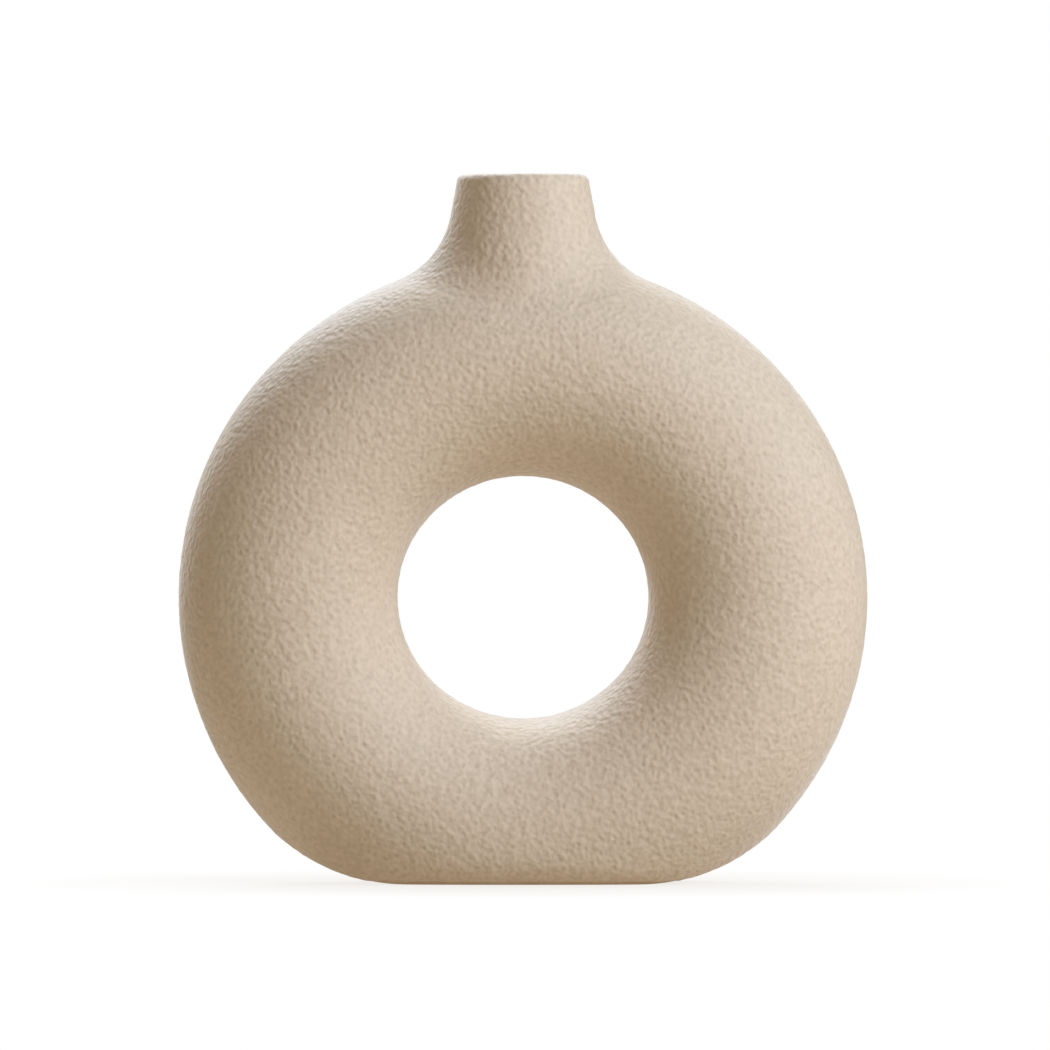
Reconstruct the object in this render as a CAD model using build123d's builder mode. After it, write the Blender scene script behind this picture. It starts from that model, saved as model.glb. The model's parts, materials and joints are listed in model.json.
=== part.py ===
"""Donut vase: an upright hollow clay ring with a flared neck, a flat foot and a textured coat.

Two pressed half shells, a collar and a foot are luted together with slip, then coated outside and glazed inside.
The ring's axis runs along Y, the front looks towards -Y, and the foot stands on z = 0. Millimetres.
"""

import os
from math import atan, cos, radians, sin, tan

from build123d import *

# Ring
ring_width = 199.5  # outer width, coat included
ring_height = 197.1  # outer height before the foot is cut flat: the ring has settled a little
tube_diameter = 63.4  # thickness of the ring, front to back
oval_join = 48  # degrees from the vertical where the crown and foot arcs meet the side arcs

# Neck and mouth
neck_rise = 23.9  # lip above the ring's uncut crown
mouth_diameter = 28.6  # clear bore, inside the glaze
rim_thickness = 4.5  # wall at the lip, from the bore to the outside
neck_shoulder = 2.6  # how far the neck's side, carried down to the tube's middle, stays inside the tube
neck_flare = 25.0  # radius of the blend between neck and ring
lip_outer_radius = 2.3
lip_inner_radius = 2.0

# Foot
foot_cut = 15.8  # how much of the ring is cut off flat
foot_corner_radius = 54.0  # soft corner seen from the front
foot_flank_slope = 37  # degrees of the flank above that corner
foot_flank_lean = 8  # degrees by which the ring is steeper than the flank where they meet
foot_edge_radius = 10.0  # soft edge along the front and back of the foot
floor_thickness = 7.0  # clay under the hollow
bare_foot = 1.0  # the coat stops this far above the table

# Walls and joints
clay_wall = 5.0
coat_thickness = 0.6  # textured coat outside and glaze inside alike
lute_thickness = 0.8  # slip between two clay pieces
base_joint_height = 10.0  # where the foot meets the shells
seat_angle = 45  # degrees of the neck's bevelled seat from the vertical
seat_margin = 3.0  # how far the seat lies outside the neck at crown height

spare = 20.0  # how far cutting shapes reach past what they cut

# Sizes worked out from the ones above
tube_radius = tube_diameter / 2
center_height = ring_height / 2 - foot_cut
crown_height = center_height + ring_height / 2
lip_height = crown_height + neck_rise
mouth_radius = mouth_diameter / 2
lip_crest_radius = mouth_radius + lip_inner_radius
neck_top_radius = mouth_radius + rim_thickness
neck_slope = (tube_radius - neck_shoulder - neck_top_radius) / (neck_rise + tube_radius)
seat_radius = neck_top_radius + neck_rise * neck_slope + seat_margin
clay_inside = coat_thickness + clay_wall
glaze_inside = clay_inside + coat_thickness

# The ring's centre line is an oval of four arcs
half_span = ring_width / 2 - tube_radius
half_rise = ring_height / 2 - tube_radius
arc_rise = (half_span - half_rise) / (tan(radians(oval_join)) - 1 / cos(radians(oval_join)) + 1)
arc_span = arc_rise * tan(radians(oval_join))
crown_arc_radius = half_rise + arc_rise
side_arc_radius = half_span - arc_span
tube_top = center_height + half_rise

# The foot's flank crosses the ring's outline at this point
crossing = radians(foot_flank_slope + foot_flank_lean)
outline_radius = crown_arc_radius + tube_radius
crossing_x = outline_radius * sin(crossing)
crossing_z = center_height + arc_rise - outline_radius * cos(crossing)


def outer_form(inset, top, floor, edge_radius):
    """The vase as a solid, shrunk by an inset, from its floor to the top of its neck."""
    with BuildPart() as form:
        # Crown, right side, foot and left side of the ring, each a piece of a torus
        arcs = [
            (Vector(0, 0, center_height - arc_rise), crown_arc_radius, -oval_join, 2 * oval_join),
            (Vector(arc_span, 0, center_height), side_arc_radius, oval_join, 180 - 2 * oval_join),
            (Vector(0, 0, center_height + arc_rise), crown_arc_radius, 180 - oval_join, 2 * oval_join),
            (Vector(-arc_span, 0, center_height), side_arc_radius, 180 + oval_join, 180 - 2 * oval_join),
        ]
        for hub, arc_radius, start, turn in arcs:
            outwards = Vector(sin(radians(start)), 0, cos(radians(start)))
            along = Vector(outwards.Z, 0, -outwards.X)
            with BuildSketch(Plane(hub + outwards * arc_radius, x_dir=outwards, z_dir=along)):
                Circle(tube_radius - inset)
            revolve(axis=Axis(hub, (0, 1, 0)), revolution_arc=turn)

        # Neck: a cone that leans in towards its rounded lip, blended into the crown
        side_inset = inset / cos(atan(neck_slope))
        with BuildSketch(Plane.YZ) as neck_profile:
            with BuildLine():
                Polyline(
                    (0, tube_top),
                    (neck_top_radius + (lip_height - tube_top) * neck_slope - side_inset, tube_top),
                    (neck_top_radius + (lip_height - top) * neck_slope - side_inset, top),
                    (0, top),
                    close=True,
                )
            make_face()
            if lip_outer_radius > inset:
                lip = neck_profile.vertices().group_by(Axis.Y)[-1].sort_by(Axis.X)[-1]
                fillet(lip, lip_outer_radius - inset)
        revolve(axis=Axis.Z)
        root = form.edges(Select.NEW).filter_by(GeomType.BSPLINE)
        fillet(root, neck_flare + inset)

        # Foot: a flat cut with soft corners, then a soft edge all round it
        flank = tan(radians(foot_flank_slope))
        flank_inset = inset / sin(radians(foot_flank_slope))
        corner_x = crossing_x - (crossing_z - floor) / flank - flank_inset
        reach_z = lip_height + spare
        reach_x = corner_x + (reach_z - floor) / flank
        with BuildSketch(Plane.XZ) as foot_profile:
            with BuildLine():
                Polyline(
                    (corner_x, floor),
                    (reach_x, reach_z),
                    (-reach_x, reach_z),
                    (-corner_x, floor),
                    close=True,
                )
            make_face()
            fillet(foot_profile.vertices().group_by(Axis.Y)[0], foot_corner_radius - inset)
        extrude(amount=tube_radius + spare, both=True, mode=Mode.INTERSECT)
        if edge_radius > 0:
            fillet(form.edges(Select.NEW).filter_by(GeomType.BSPLINE), edge_radius)
    return form.part


def hollow(inset, floor, mouth_offset, top):
    """The space inside the clay or inside the glaze, open through the mouth with its flared inner lip."""
    inside = outer_form(inset, lip_height - inset, floor, 0)
    bore_radius = mouth_radius + mouth_offset
    lip_start = lip_height - lip_inner_radius
    with BuildPart() as space:
        add(inside)
        with BuildSketch(Plane.YZ):
            with BuildLine():
                lip = CenterArc((lip_crest_radius, lip_start), lip_inner_radius - mouth_offset, 90, 90)
                Polyline(lip @ 1, (bore_radius, tube_top), (0, tube_top), (0, top), (lip_crest_radius, top), lip @ 0)
            make_face()
        revolve(axis=Axis.Z)
    return space.part


def seat_cone(rise):
    """A cone that opens upwards round the neck: its wall is the neck's bevelled seat, raised along the axis."""
    apex = crown_height - seat_radius / tan(radians(seat_angle)) + rise
    rim = lip_height + spare
    with BuildPart() as cone:
        with BuildSketch(Plane.YZ):
            with BuildLine():
                Polyline((0, apex), ((rim - apex) * tan(radians(seat_angle)), rim), (0, rim), close=True)
            make_face()
        revolve(axis=Axis.Z)
    return cone.part


# Shapes that the pieces are cut from
coat_form = outer_form(0, lip_height, 0, foot_edge_radius)
clay_form = outer_form(coat_thickness, lip_height - coat_thickness, 0, foot_edge_radius - coat_thickness)
clay_hollow = hollow(clay_inside, floor_thickness, coat_thickness, lip_height)
glaze_hollow = hollow(glaze_inside, floor_thickness + coat_thickness, 0, lip_height + spare)
half_lute = lute_thickness / 2
seat_rise = half_lute / sin(radians(seat_angle))
neck_seat = seat_cone(seat_rise)
crown_seat = seat_cone(-seat_rise)
base_top = Plane.XY.offset(base_joint_height - half_lute)
shell_foot = Plane.XY.offset(base_joint_height + half_lute)
front_face = Plane.XZ.offset(half_lute)
rear_face = Plane.XZ.offset(-half_lute)

with BuildPart() as clay:
    add(clay_form)
    add(clay_hollow, mode=Mode.SUBTRACT)

# The hollow ring without its neck and foot
with BuildPart() as ring:
    add(clay.part)
    add(crown_seat, mode=Mode.SUBTRACT)
    split(bisect_by=shell_foot, keep=Keep.TOP)

# Front half of the ring
with BuildPart() as front_shell:
    add(ring.part)
    split(bisect_by=front_face, keep=Keep.TOP)

# Rear half of the ring, pressed in the same mould
with BuildPart() as rear_shell:
    mirror(front_shell.part, about=Plane.XZ)

# Slip between the two halves
with BuildPart() as seam_lute:
    add(ring.part)
    split(bisect_by=front_face, keep=Keep.BOTTOM)
    split(bisect_by=rear_face, keep=Keep.TOP)

# Collar with the mouth, standing in the crown's bevelled seat
with BuildPart() as neck:
    add(clay.part)
    add(neck_seat, mode=Mode.INTERSECT)

# Slip between collar and crown
with BuildPart() as neck_lute:
    add(clay.part)
    add(crown_seat, mode=Mode.INTERSECT)
    add(neck_seat, mode=Mode.SUBTRACT)

# Foot, a shallow dish that closes the flat cut
with BuildPart() as base:
    add(clay.part)
    split(bisect_by=base_top, keep=Keep.BOTTOM)

# Slip between foot and shells
with BuildPart() as base_lute:
    add(clay.part)
    split(bisect_by=shell_foot, keep=Keep.BOTTOM)
    split(bisect_by=base_top, keep=Keep.TOP)

# Textured coat over the whole outside and the outer half of the lip
with BuildPart() as outer_coat:
    add(coat_form)
    split(bisect_by=Plane.XY.offset(bare_foot), keep=Keep.TOP)
    add(clay_form, mode=Mode.SUBTRACT)
    with BuildSketch(Plane.XY.offset(lip_height - lip_inner_radius)):
        Circle(lip_crest_radius)
    extrude(amount=spare, mode=Mode.SUBTRACT)
    split(bisect_by=Plane.XZ, keep=Keep.TOP)
    mirror(about=Plane.XZ)

# Glaze over the whole inside and the inner half of the lip
with BuildPart() as inner_glaze:
    add(clay_hollow)
    add(glaze_hollow, mode=Mode.SUBTRACT)
    split(bisect_by=Plane.XZ, keep=Keep.TOP)
    mirror(about=Plane.XZ)

pieces = {
    "front_shell": front_shell,
    "rear_shell": rear_shell,
    "seam_lute": seam_lute,
    "neck": neck,
    "neck_lute": neck_lute,
    "base": base,
    "base_lute": base_lute,
    "outer_coat": outer_coat,
    "inner_glaze": inner_glaze,
}
os.makedirs("parts", exist_ok=True)
for label, piece in pieces.items():
    piece.part.label = label
    export_step(piece.part, f"parts/{label}.step")
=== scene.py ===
import json
from math import atan, atan2, cos, hypot, pi, radians, sin, tan

import bmesh
import bpy
import numpy as np
from mathutils import Matrix, Vector, noise


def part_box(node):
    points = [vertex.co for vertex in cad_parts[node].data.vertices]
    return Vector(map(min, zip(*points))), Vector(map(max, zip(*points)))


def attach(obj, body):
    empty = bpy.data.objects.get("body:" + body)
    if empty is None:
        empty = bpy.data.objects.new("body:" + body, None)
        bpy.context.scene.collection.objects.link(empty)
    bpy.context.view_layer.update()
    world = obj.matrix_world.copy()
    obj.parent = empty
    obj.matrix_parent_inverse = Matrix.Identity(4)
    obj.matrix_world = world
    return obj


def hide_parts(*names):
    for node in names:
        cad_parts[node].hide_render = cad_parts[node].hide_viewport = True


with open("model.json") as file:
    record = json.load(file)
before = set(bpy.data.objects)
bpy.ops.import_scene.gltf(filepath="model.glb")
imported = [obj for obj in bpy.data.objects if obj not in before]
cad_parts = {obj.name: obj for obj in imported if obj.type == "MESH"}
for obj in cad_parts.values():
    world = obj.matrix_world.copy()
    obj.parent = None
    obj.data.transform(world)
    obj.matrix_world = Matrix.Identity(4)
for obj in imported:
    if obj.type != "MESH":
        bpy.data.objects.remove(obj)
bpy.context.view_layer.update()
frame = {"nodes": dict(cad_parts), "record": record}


# Clay: the two half shells of the ring, the neck and the foot are pale stoneware, pressed in a
# mould and trimmed by hand. The fired body is bare and dry, with fine grog and a few darker
# grains, and only the foot's underside shows.
class Tone:
    """One socket of a finish. Signs between tones and numbers add the Math nodes for them."""

    def __init__(self, tree, socket):
        self.tree = tree
        self.socket = socket

    def node(self, kind, settings, sockets, result=0):
        """Adds a node, sets it up, and gives its sockets their values or links."""
        made = self.tree.nodes.new(kind)
        for name, value in settings.items():
            setattr(made, name, value)
        for name, value in sockets.items():
            if isinstance(value, Tone):
                self.tree.links.new(value.socket, made.inputs[name])
            else:
                made.inputs[name].default_value = value
        return Tone(self.tree, made.outputs[result])

    def feeds(self, node, name):
        self.tree.links.new(self.socket, node.inputs[name])

    def sign(self, operation, first, second):
        return self.node("ShaderNodeMath", {"operation": operation}, {0: first, 1: second})

    def __add__(self, other):
        return self.sign("ADD", self, other)

    def __radd__(self, other):
        return self.sign("ADD", other, self)

    def __sub__(self, other):
        return self.sign("SUBTRACT", self, other)

    def __rsub__(self, other):
        return self.sign("SUBTRACT", other, self)

    def __mul__(self, other):
        return self.sign("MULTIPLY", self, other)

    def __rmul__(self, other):
        return self.sign("MULTIPLY", other, self)

    def grain(self, size, detail=2.0, roughness=0.5):
        """Soft noise whose blots are about this size, in metres."""
        sockets = {"Vector": self, "Scale": 1 / size, "Detail": detail, "Roughness": roughness}
        return self.node("ShaderNodeTexNoise", {}, sockets)

    def pits(self, spacing, brim):
        """Round pits about this far apart, 0 in their middle and 1 on the ground round them.
        The brim is a pit's radius as a share of the spacing."""
        sockets = {"Vector": self, "Scale": 1 / spacing}
        centre = self.node("ShaderNodeTexVoronoi", {}, sockets, "Distance")
        return centre.between(0, brim, "SMOOTHSTEP")

    def between(self, low=0.3, high=0.7, curve="LINEAR"):
        """0 where the tone is low and 1 where it is high. Most of a grain lies from 0.3 to 0.7."""
        sockets = {"Value": self, "From Min": low, "From Max": high}
        return self.node("ShaderNodeMapRange", {"interpolation_type": curve}, sockets)

    def blend(self, first, second):
        """A colour that goes from the first to the second as the tone goes from 0 to 1."""
        return self.node("ShaderNodeMix", {"data_type": "RGBA"}, {0: self, 6: first, 7: second}, 2)

    def relief(self, height):
        """Surface normals for a height field that swings by this height, in metres."""
        return self.node("ShaderNodeBump", {}, {"Height": self, "Distance": height, "Strength": 1.0})


def start_finish(name):
    """A new material, its surface shader, and the place on the object that its patterns read."""
    material = bpy.data.materials.new(name)
    material.use_nodes = True
    tree = material.node_tree
    surface = tree.nodes["Principled BSDF"]
    place = Tone(tree, tree.nodes.new("ShaderNodeTexCoord").outputs["Object"])
    return material, surface, place


def dress(material, *names):
    """Gives CAD nodes their finish."""
    for name in names:
        mesh = frame["nodes"][name].data
        mesh.materials.clear()
        mesh.materials.append(material)


clay_pale = (0.62, 0.50, 0.37, 1)
clay_warm = (0.52, 0.40, 0.28, 1)
clay_blots = 0.012
grog_dark = (0.25, 0.18, 0.12, 1)
grog_size = 0.0009
grog_start = 0.68  # only the peaks of the noise are dark grains
grog_full = 0.76
clay_roughness = 0.84
clay_roughness_swing = 0.1
clay_patches = 0.002
clay_grit = 0.0007
clay_grit_height = 0.00012
clay, surface, place = start_finish("bare_clay")
body_tone = place.grain(clay_blots, detail=3.0).between().blend(clay_pale, clay_warm)
grog = place.grain(grog_size, detail=1.0).between(grog_start, grog_full)
grog.blend(body_tone, grog_dark).feeds(surface, "Base Color")
(clay_roughness + clay_roughness_swing * place.grain(clay_patches)).feeds(surface, "Roughness")
place.grain(clay_grit, detail=3.0, roughness=0.7).relief(clay_grit_height).feeds(surface, "Normal")
dress(clay, "front_shell", "rear_shell", "neck", "base")

# Slip: the thin mud that lutes the shells, the neck and the foot together.
# It is the same clay let down with water, so it fires a little smoother and darker.
slip_pale = (0.55, 0.43, 0.31, 1)
slip_dark = (0.48, 0.36, 0.25, 1)
slip_blots = 0.006
slip_roughness = 0.72
slip_roughness_swing = 0.12
slip_patches = 0.003
slip_ripple = 0.002
slip_ripple_height = 0.0001
slip, surface, place = start_finish("fired_slip")
place.grain(slip_blots).between().blend(slip_pale, slip_dark).feeds(surface, "Base Color")
(slip_roughness + slip_roughness_swing * place.grain(slip_patches)).feeds(surface, "Roughness")
place.grain(slip_ripple).relief(slip_ripple_height).feeds(surface, "Normal")
dress(slip, "seam_lute", "neck_lute", "base_lute")

# Inner glaze: a satin glaze poured through the mouth and swilled round, so that the ring holds
# water. It runs up over the inner half of the lip and lies thicker, and darker, in soft streaks.
glaze_thin = (0.66, 0.55, 0.42, 1)
glaze_thick = (0.55, 0.43, 0.31, 1)
streak_width = 0.008
streak_length = 4  # times the width, downwards
streak_start = 0.3
streak_full = 0.75
glaze_roughness = 0.34
glaze_roughness_swing = 0.12
glaze_waves = 0.004
glaze_wave_height = 0.00006
glaze, surface, place = start_finish("inner_glaze")
stretch = {"Vector": place, "Scale": (1, 1, 1 / streak_length)}
run_down = place.node("ShaderNodeMapping", {}, stretch)
streaks = run_down.grain(streak_width).between(streak_start, streak_full)
streaks.blend(glaze_thin, glaze_thick).feeds(surface, "Base Color")
(glaze_roughness + glaze_roughness_swing * place.grain(glaze_waves)).feeds(surface, "Roughness")
place.grain(glaze_waves, detail=1.0).relief(glaze_wave_height).feeds(surface, "Normal")
surface.inputs["Coat Weight"].default_value = 0.35
surface.inputs["Coat Roughness"].default_value = 0.2
dress(glaze, "inner_glaze")

# Sand coat: a matte slip with fine sand in it, sprayed over the whole outside once the joints are
# smoothed over. It dries to a tight skin of grains and pits, runs over the outer half of the lip
# and stops just above the table. It is made as two halves, as the shells under it are.
coat_low, coat_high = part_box("outer_coat")
mouth = next(mount for mount in frame["record"]["mounts"] if mount["name"] == "mouth")
coat_thickness = 0.0006
tube_radius = 0.0317
ring_height = 0.1971  # before the foot is cut flat
oval_join = radians(48)  # from the vertical, where the crown and foot arcs meet the side arcs
neck_rise = 0.0239  # lip above the ring's crown
neck_shoulder = 0.0026  # how far inside the tube the neck's side, drawn on, meets its middle
neck_flare = 0.025  # radius of the blend between neck and ring
rim_thickness = 0.0045
lip_outer_radius = 0.0023
lip_inner_radius = 0.002
foot_corner_radius = 0.054  # soft corner seen from the front
foot_flank = radians(37)  # slope of the flank above that corner
foot_flank_lean = radians(8)  # by which the ring is steeper than the flank where they meet
foot_edge_radius = 0.01  # soft edge along the front and back of the foot

bare_foot = coat_low.z
lip_height = coat_high.z
half_span = coat_high.x - tube_radius
half_rise = ring_height / 2 - tube_radius
center_height = lip_height - neck_rise - ring_height / 2
arc_rise = (half_span - half_rise) / (tan(oval_join) - 1 / cos(oval_join) + 1)
arc_span = arc_rise * tan(oval_join)
crown_arc_radius = half_rise + arc_rise
side_arc_radius = half_span - arc_span
mouth_radius = mouth["dims"]["r_mm"] / 1000
neck_top_radius = mouth_radius + rim_thickness
neck_slope = (tube_radius - neck_shoulder - neck_top_radius) / (neck_rise + tube_radius)
lip_crest_radius = mouth_radius + lip_inner_radius
outline_radius = crown_arc_radius + tube_radius
crossing = foot_flank + foot_flank_lean
crossing_height = center_height + arc_rise - outline_radius * cos(crossing)
foot_corner = outline_radius * sin(crossing) - crossing_height / tan(foot_flank)
foot_flat = foot_corner - foot_corner_radius * tan(foot_flank / 2)

# Heights beyond which the neck's flare, the lip and the foot shape the outside
flare_start = center_height + half_rise + tube_radius / 3
lip_start = lip_height - 2 * lip_outer_radius
foot_top = center_height - half_rise / 2
hair = 1e-6  # lengths below this count as nothing


def ring_gap(points):
    """How far points lie outside the ring's tube, and the directions that lead away from it."""
    x = np.abs(points[:, 0])
    y = points[:, 1]
    z = np.abs(points[:, 2] - center_height)
    crown = x * cos(oval_join) < (z + arc_rise) * sin(oval_join)
    dx = x - np.where(crown, 0, arc_span)
    dz = z + np.where(crown, arc_rise, 0)
    reach = np.hypot(dx, dz)
    off = reach - np.where(crown, crown_arc_radius, side_arc_radius)
    span = np.hypot(off, y)
    lean = off / span / reach
    side = np.where(points[:, 0] < 0, -1, 1)
    rise = np.where(points[:, 2] < center_height, -1, 1)
    return span - tube_radius, np.stack([side * dx * lean, y / span, rise * dz * lean], axis=1)


def neck_gap(points):
    """The same for the neck, a cone that leans in towards the lip."""
    lean = cos(atan(neck_slope))
    x = points[:, 0]
    y = points[:, 1]
    radius = np.maximum(np.hypot(x, y), hair)
    gap = (radius - neck_top_radius - (lip_height - points[:, 2]) * neck_slope) * lean
    rise = np.full(len(points), neck_slope * lean)
    return gap, np.stack([x / radius * lean, y / radius * lean, rise], axis=1)


def lip_gap(points):
    """The same for the level of the lip."""
    return points[:, 2] - lip_height, np.tile((0.0, 0.0, 1.0), (len(points), 1))


def foot_gap(points):
    """The same for the flat foot with its soft corners and sloping flanks."""
    dx = np.abs(points[:, 0]) - foot_flat
    dz = points[:, 2] - foot_corner_radius
    turn = np.clip(np.arctan2(dx, -dz), 0, foot_flank)
    side = np.where(points[:, 0] < 0, -1, 1)
    gap = dx * np.sin(turn) - dz * np.cos(turn) - foot_corner_radius
    return gap, np.stack([side * np.sin(turn), 0 * turn, -np.cos(turn)], axis=1)


def rounded(points, first, second, radius):
    """The same for two forms together: joined with a hollow fillet or, where the radius is below
    zero, cut by each other with a round edge. The fillet is the path of a ball that touches both."""
    ball_steps = 5
    least_spread = 0.01  # keeps a step short where the two forms run side by side
    ball = points.copy()
    for _ in range(ball_steps):
        a, away_a = first(ball)
        b, away_b = second(ball)
        along = np.sum(away_a * away_b, axis=1)
        spread = np.maximum(1 - along**2, least_spread)
        step_a = ((radius - a) - along * (radius - b)) / spread
        step_b = ((radius - b) - along * (radius - a)) / spread
        ball += step_a[:, None] * away_a + step_b[:, None] * away_b
    to_ball = ball - points
    share_a = np.sum(to_ball * away_a, axis=1) - along * np.sum(to_ball * away_b, axis=1)
    share_b = np.sum(to_ball * away_b, axis=1) - along * np.sum(to_ball * away_a, axis=1)
    sense = 1 if radius > 0 else -1
    a, away_a = first(points)
    b, away_b = second(points)
    length = np.maximum(np.linalg.norm(to_ball, axis=1), hair)
    in_fillet = (share_a * sense > 0) & (share_b * sense > 0) & (length < 2 * abs(radius))
    nearer = a * sense < b * sense
    gap = np.where(in_fillet, radius - sense * length, np.where(nearer, a, b))
    away = np.where(nearer[:, None], away_a, away_b)
    return gap, np.where(in_fillet[:, None], sense * to_ball / length[:, None], away)


def coat_gap(points):
    """The same for the whole outside of the vase: ring, flared neck, rounded lip and soft foot."""
    gap, away = ring_gap(points)
    zones = (
        (points[:, 2] > flare_start, ring_gap, neck_gap, neck_flare),
        (points[:, 2] > lip_start, neck_gap, lip_gap, -lip_outer_radius),
        (points[:, 2] < foot_top, ring_gap, foot_gap, -foot_edge_radius),
    )
    for zone, first, second, radius in zones:
        gap[zone], away[zone] = rounded(points[zone], first, second, radius)
    return gap, away


def read_points(piece):
    points = np.empty(len(piece.data.vertices) * 3, np.float32)
    piece.data.vertices.foreach_get("co", points)
    return points.reshape(-1, 3).astype(float)


def write_points(piece, points):
    piece.data.vertices.foreach_set("co", points.astype(np.float32).ravel())
    piece.data.update()


def find_skin(piece):
    """Which vertices lie on the coat's outer skin, and not on the inner side of its wall."""
    return coat_gap(read_points(piece))[0] > -coat_thickness / 2


def settle(piece, skin=slice(None)):
    """Lays the piece's vertices, or only those of its skin, on the outside of the vase."""
    settle_steps = 6
    points = read_points(piece)
    for _ in range(settle_steps):
        gap, away = coat_gap(points[skin])
        points[skin] -= gap[:, None] * away
    write_points(piece, points)


def is_rim(edge):
    """Whether an edge is open at the lip or the foot, and not along the seam of the two halves."""
    return edge.is_boundary and min(vertex.co.y for vertex in edge.verts) < -hair


def settle_rims(piece):
    """Draws the open edges to the crest of the lip and to the line above the table."""
    hem_steps = 20
    least_lean = 0.05  # keeps a step short where the underside is nearly level
    points = read_points(piece)
    loose = np.zeros(len(points), bool)
    rims = bmesh.new()
    rims.from_mesh(piece.data)
    for edge in filter(is_rim, rims.edges):
        loose[[vertex.index for vertex in edge.verts]] = True
    rims.free()
    crest = loose & (points[:, 2] > center_height)
    radius = np.hypot(points[crest, 0], points[crest, 1])
    points[crest, :2] *= (lip_crest_radius / radius)[:, None]
    points[crest, 2] = lip_height
    hem = loose & (points[:, 2] < center_height)
    points[hem, 2] = bare_foot
    for _ in range(hem_steps):
        gap, away = coat_gap(points[hem])
        level = away[:, :2]
        lean = np.maximum(np.sum(level**2, axis=1), least_lean)
        points[hem, :2] -= gap[:, None] * level / lean[:, None]
    write_points(piece, points)


def tube_turn(point):
    """Angles of a point round the ring from its crown, and round the tube from its outer edge."""
    height = point.z - center_height
    return atan2(abs(point.x), height), atan2(abs(point.y), hypot(point.x, height) - half_span)


# A coarse ring, upright, of which the front half is kept
ring_steps = 36
tube_steps = 16
bpy.ops.object.select_all(action="DESELECT")
bpy.ops.mesh.primitive_torus_add(
    location=(0, 0, center_height),
    rotation=(pi / 2, 0, 0),
    major_segments=ring_steps,
    minor_segments=tube_steps,
    major_radius=half_span,
    minor_radius=tube_radius,
)
coat_front = bpy.context.object
coat_front.name = "coat_front"
bpy.ops.object.transform_apply(location=True, rotation=True, scale=True)
bpy.ops.object.mode_set(mode="EDIT")
bpy.ops.mesh.select_all(action="SELECT")
bpy.ops.mesh.bisect(plane_co=(0, 0, 0), plane_no=(0, 1, 0), clear_outer=True)

# The crown is opened for the neck and the underside for the bare foot
neck_hole = radians(20)  # round the ring, to this far from the crown
foot_hole = radians(150)  # round the ring, from this far on
hole_depth = radians(45)  # round the tube, from its outer edge
bpy.ops.mesh.select_mode(type="FACE")
bpy.ops.mesh.select_all(action="DESELECT")
cage = bmesh.from_edit_mesh(coat_front.data)
for face in cage.faces:
    ring_angle, tube_angle = tube_turn(face.calc_center_median())
    face.select = tube_angle < hole_depth and not neck_hole < ring_angle < foot_hole
bpy.ops.mesh.delete(type="FACE")

# The neck is drawn up from its hole in four rows, to the crest of the lip
neck_rows = (
    # radius, depth under the lip
    (0.0245, 0.0218),
    (0.0212, 0.0125),
    (0.0193, 0.003),
    (lip_crest_radius, 0),
)
bpy.ops.mesh.select_mode(type="EDGE")
bpy.ops.mesh.select_all(action="DESELECT")
cage = bmesh.from_edit_mesh(coat_front.data)
for edge in cage.edges:
    edge.select = is_rim(edge) and edge.verts[0].co.z > center_height
cage.select_flush_mode()
for row_radius, row_depth in neck_rows:
    bpy.ops.mesh.extrude_region_move()
    cage = bmesh.from_edit_mesh(coat_front.data)
    row = sorted((vertex for vertex in cage.verts if vertex.select), key=lambda vertex: -vertex.co.x)
    for place_in_row, vertex in enumerate(row):
        turn = pi * place_in_row / (len(row) - 1)
        vertex.co = (row_radius * cos(turn), -row_radius * sin(turn), lip_height - row_depth)
    bmesh.update_edit_mesh(coat_front.data)
bpy.ops.mesh.select_all(action="SELECT")
bpy.ops.mesh.normals_make_consistent(inside=False)
bpy.ops.object.mode_set(mode="OBJECT")
for vertex in coat_front.data.vertices:
    vertex.co.y = min(vertex.co.y, 0)

# The cage is laid on the form, rounded, and given the coat's thickness
settle(coat_front)
settle_rims(coat_front)
rounding = coat_front.modifiers.new("Rounding", "SUBSURF")
rounding.levels = 2
rounding.render_levels = 2
rounding.boundary_smooth = "PRESERVE_CORNERS"
bpy.ops.object.modifier_apply(modifier=rounding.name)
settle(coat_front)
settle_rims(coat_front)
wall = coat_front.modifiers.new("Wall", "SOLIDIFY")
wall.thickness = coat_thickness
wall.offset = -1
bpy.ops.object.modifier_apply(modifier=wall.name)

# Only the outer skin is made fine enough for its texture
skin_cuts = 3
on_skin = find_skin(coat_front)
bpy.ops.object.mode_set(mode="EDIT")
bpy.ops.mesh.select_mode(type="FACE")
bpy.ops.mesh.select_all(action="DESELECT")
bpy.ops.object.mode_set(mode="OBJECT")
for face in coat_front.data.polygons:
    face.select = all(on_skin[index] for index in face.vertices)
bpy.ops.object.mode_set(mode="EDIT")
bpy.ops.mesh.subdivide(number_cuts=skin_cuts)
bpy.ops.object.mode_set(mode="OBJECT")
on_skin = find_skin(coat_front)
settle(coat_front, on_skin)

# The rear half is a copy turned round
coat_rear = coat_front.copy()
coat_rear.data = coat_front.data.copy()
coat_rear.name = "coat_rear"
bpy.context.scene.collection.objects.link(coat_rear)
coat_rear.data.transform(Matrix.Rotation(pi, 4, "Z"))

# Pebbled relief, the same for both halves where they meet, that dies out towards the wiped lip
swell_length = 0.03
swell_height = 0.00008
pebble_length = 0.002
pebble_height = 0.00012
wiped_lip = 0.006
for half in (coat_front, coat_rear):
    points = read_points(half)
    away = coat_gap(points)[1]
    for index in np.flatnonzero(on_skin):
        spot = Vector(points[index])
        swell = swell_height * noise.noise(spot / swell_length)
        pebble = pebble_height * noise.noise(spot / pebble_length)
        fade = min(1, (lip_height - spot.z) / wiped_lip)
        points[index] += away[index] * (swell + pebble) * fade
    write_points(half, points)

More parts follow.
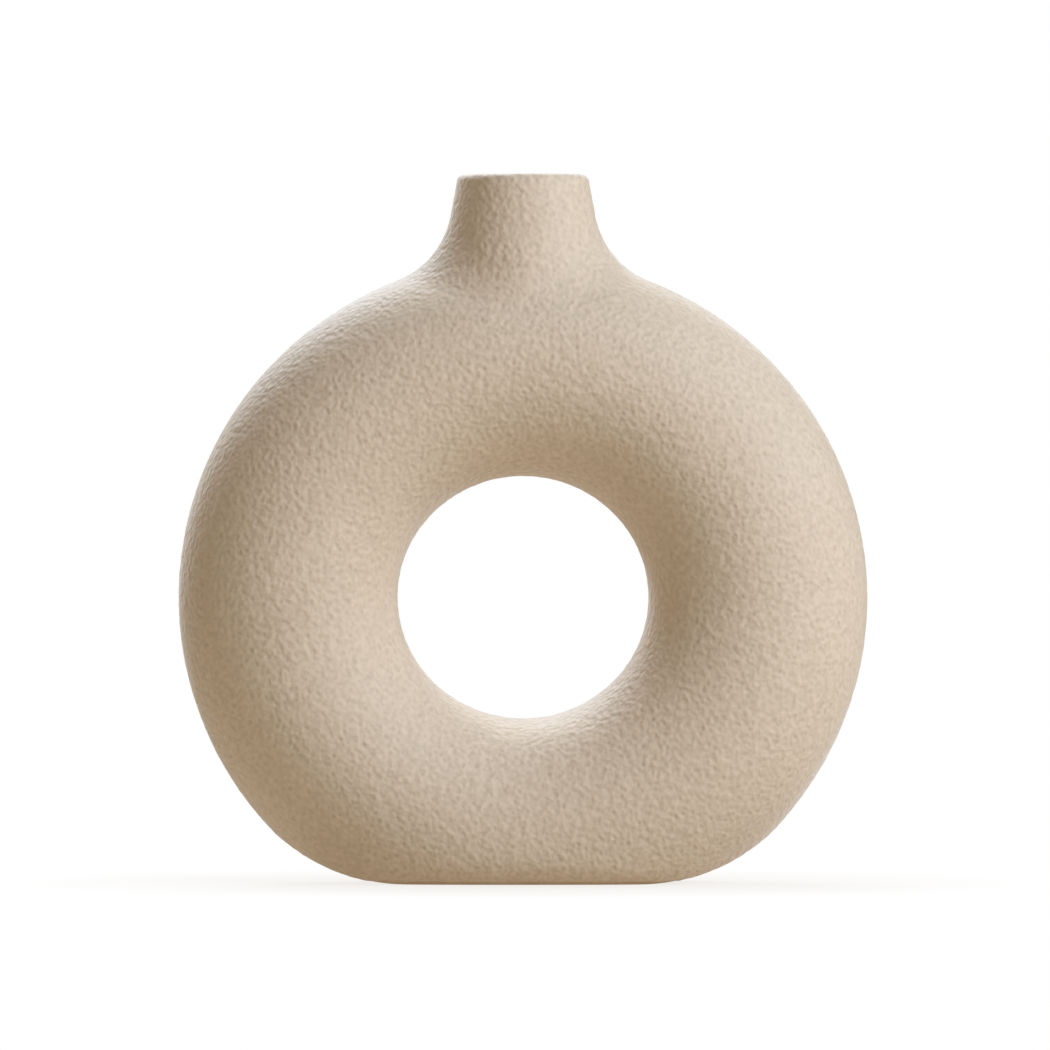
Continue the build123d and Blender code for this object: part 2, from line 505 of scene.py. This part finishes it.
# The finish: sand grains with pits among them on a faintly mottled ground, with painted shade that
# darkens the hollows
coat_pale = (0.685, 0.565, 0.44, 1)
coat_warm = (0.655, 0.53, 0.405, 1)
coat_mottle = 0.03
# Painted shade: the hollows among the grains are coloured darker, standing in for the shade that
# falls in them
hollow_shade_tone = (0.54, 0.435, 0.325, 1)
hollow_shade_height = 0.3  # sand no higher than this takes the full painted hollow shade
sand_grain = 0.0016
pit_spacing = 0.0019
pit_brim = 0.6
pit_share = 0.25  # depth of the pits, as a share of the grains' height
sand_height = 0.00036
coat_roughness = 0.66
coat_roughness_swing = 0.1
crease = radians(50)  # edges that turn by more than this stay sharp
coat, surface, place = start_finish("sand_coat")
grit = place.grain(sand_grain, detail=0.5)
sand = pit_share * place.pits(pit_spacing, pit_brim) + grit
mottle = place.grain(coat_mottle).between().blend(coat_pale, coat_warm)
# Painted shade: the lower the sand, the nearer its colour comes to the darker hollow colour
sand.between(hollow_shade_height, 1.0).blend(hollow_shade_tone, mottle).feeds(surface, "Base Color")
(coat_roughness + coat_roughness_swing * grit).feeds(surface, "Roughness")
sand.relief(sand_height).feeds(surface, "Normal")
surface.inputs["Sheen Weight"].default_value = 0.5
surface.inputs["Sheen Roughness"].default_value = 0.35
for half in (coat_front, coat_rear):
    half.data.materials.append(coat)
    bpy.ops.object.select_all(action="DESELECT")
    half.select_set(True)
    bpy.context.view_layer.objects.active = half
    bpy.ops.object.shade_smooth_by_angle(angle=crease)
    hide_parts("outer_coat")
    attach(half, "root")

# Floor: a pale, softly lit table that keeps the vase's shadow round its foot.
# Farther off it shows the plain white of the room to the eye, to gloss and to glass.
floor_width = 10.0
table_tone = (0.62, 0.54, 0.44, 1)
table_roughness = 0.9
lit_tone = (0.74, 0.62, 0.46, 1)
lit_share = 0.45  # share of an even glow, which keeps the shadow faint
shadow_near = 0.03  # from the middle of the foot, where the shadow starts to fade
shadow_far = 0.15  # where it is gone
shadow_share = 0.3  # how much of the table shows through the white by the foot
white = (1, 1, 1, 1)


def plain_rays(tree):
    """1 for the rays that see the background plain: from the eye, off gloss and through glass."""
    rays = tree.nodes.new("ShaderNodeLightPath")
    kinds = ("Is Camera Ray", "Is Glossy Ray", "Is Transmission Ray")
    eye_ray, gloss_ray, glass_ray = (Tone(tree, rays.outputs[kind]) for kind in kinds)
    return eye_ray + gloss_ray + glass_ray


bpy.ops.object.select_all(action="DESELECT")
bpy.ops.mesh.primitive_plane_add(size=floor_width)
floor = bpy.context.object
floor.name = "floor"
white_table, surface, place = start_finish("white_table")
surface.inputs["Base Color"].default_value = table_tone
surface.inputs["Roughness"].default_value = table_roughness
tree = white_table.node_tree
distance = place.node("ShaderNodeVectorMath", {"operation": "LENGTH"}, {0: place}, "Value")
near_foot = 1 - distance.between(shadow_near, shadow_far)
plain = plain_rays(tree) * (1 - shadow_share * near_foot)
matte = Tone(tree, surface.outputs["BSDF"])
lit = place.node("ShaderNodeEmission", {}, {"Color": lit_tone, "Strength": 1.0})
lit_table = place.node("ShaderNodeMixShader", {}, {0: lit_share, 1: matte, 2: lit})
plain_white = place.node("ShaderNodeEmission", {}, {"Color": white, "Strength": 1.0})
table = place.node("ShaderNodeMixShader", {}, {0: plain, 1: lit_table, 2: plain_white})
table.feeds(tree.nodes["Material Output"], "Surface")
floor.data.materials.append(white_table)

# Studio: a dim warm room, a large soft lamp on the right in front, and one behind on the left
# that edges the crown, the left side and the bottom of the hole with light.
room_tone = (1.0, 0.77, 0.43, 1)
room_light = 0.208
room = bpy.data.worlds.new("white_room")
bpy.context.scene.world = room
room.use_nodes = True
tree = room.node_tree
glow = tree.nodes["Background"]
glow.inputs["Color"].default_value = room_tone
glow.inputs["Strength"].default_value = room_light
dim_room = Tone(tree, glow.outputs["Background"])
plain_white = dim_room.node("ShaderNodeBackground", {}, {"Color": white, "Strength": 1.0})
sky = dim_room.node("ShaderNodeMixShader", {}, {0: plain_rays(tree), 1: dim_room, 2: plain_white})
sky.feeds(tree.nodes["World Output"], "Surface")

lamp_aim = Vector((0, 0, 0.1))
lamp_reach = 1.75
lamp_tone = (0.755, 0.86, 1.0)
lamps = (
    # name, turn from the front to the right, height angle, width, power
    ("key_lamp", 52, 31, 1.2, 33.0),
    ("edge_lamp", -156, 45, 1.0, 35.0),
)
for name, turn, rise, width, power in lamps:
    tilt = Matrix.Rotation(radians(-rise), 3, "X")
    away = Matrix.Rotation(radians(turn), 3, "Z") @ tilt @ Vector((0, -1, 0))
    light = bpy.data.lights.new(name, "AREA")
    light.shape = "DISK"
    light.size = width
    light.energy = power
    light.color = lamp_tone
    lamp = bpy.data.objects.new(name, light)
    lamp.location = lamp_aim + lamp_reach * away
    lamp.rotation_euler = (-away).to_track_quat("-Z", "Y").to_euler()
    bpy.context.scene.collection.objects.link(lamp)

# Camera: a long lens set level with the middle of the vase, square to the ring,
# so that the outline is true and the mouth shows edge on.
view_width = 0.3043  # what the picture spans at the vase
view_centre = Vector((0.0006, 0, 0.1037))
eye = Vector((0.0006, -4.0, 0.1168))
lens = bpy.data.cameras.new("front_camera")
lens.lens = lens.sensor_width * (view_centre - eye).length / view_width
camera = bpy.data.objects.new("front_camera", lens)
camera.location = eye
camera.rotation_euler = (view_centre - eye).to_track_quat("-Z", "Y").to_euler()
bpy.context.scene.collection.objects.link(camera)
bpy.context.scene.camera = camera
bpy.context.scene.view_settings.view_transform = "Standard"
